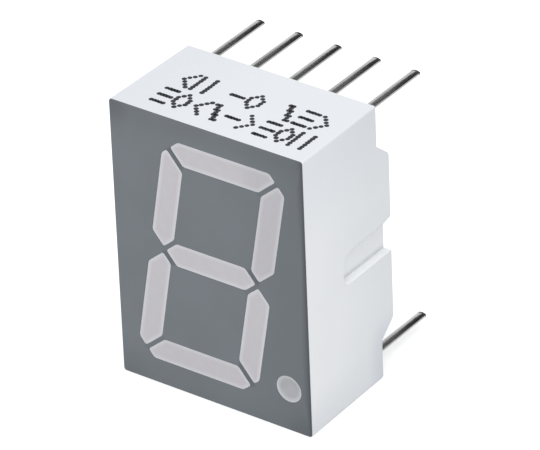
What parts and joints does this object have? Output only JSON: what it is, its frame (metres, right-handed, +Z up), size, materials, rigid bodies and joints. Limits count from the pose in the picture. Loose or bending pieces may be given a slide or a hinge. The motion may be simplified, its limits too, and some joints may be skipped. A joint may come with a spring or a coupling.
{
  "type": "seven segment display",
  "caption": "Single-digit LED display: white reflector housing with a grey face, slanted diffused segments, a decimal point and two rows of flat pins behind.",
  "frame": {"origin": "on the lower end wall, in the middle of the housing's width and of its depth from the front face to the board seat", "axes": "+Z up towards the top of the digit, -Y out of the front face, +Y along the pins, +X to the right as the digit is read"},
  "size_m": [0.0124, 0.0121, 0.017],
  "materials": {
    "housing": "satin",
    "face_coat": "matte",
    "light_casting": "satin",
    "potting": "satin",
    "tinned_lead": "satin",
    "emitter": "matte",
    "bond_wire": "satin"
  },
  "bodies": {
    "root": {"reflector_housing": "housing", "face_coat": "face_coat", "segment_a": "light_casting", "segment_b": "light_casting", "segment_c": "light_casting", "segment_d": "light_casting", "segment_e": "light_casting", "segment_f": "light_casting", "segment_g": "light_casting", "decimal_point": "light_casting", "back_potting": "potting", "common_lead": "tinned_lead", "lead_a": "tinned_lead", "lead_b": "tinned_lead", "lead_c": "tinned_lead", "lead_d": "tinned_lead", "lead_e": "tinned_lead", "lead_f": "tinned_lead", "lead_g": "tinned_lead", "lead_point": "tinned_lead", "die_a": "emitter", "die_b": "emitter", "die_c": "emitter", "die_d": "emitter", "die_e": "emitter", "die_f": "emitter", "die_g": "emitter", "die_point": "emitter", "wire_a": "bond_wire", "wire_b": "bond_wire", "wire_c": "bond_wire", "wire_d": "bond_wire", "wire_e": "bond_wire", "wire_f": "bond_wire", "wire_g": "bond_wire", "wire_point": "bond_wire"}
  },
  "joints": []
}
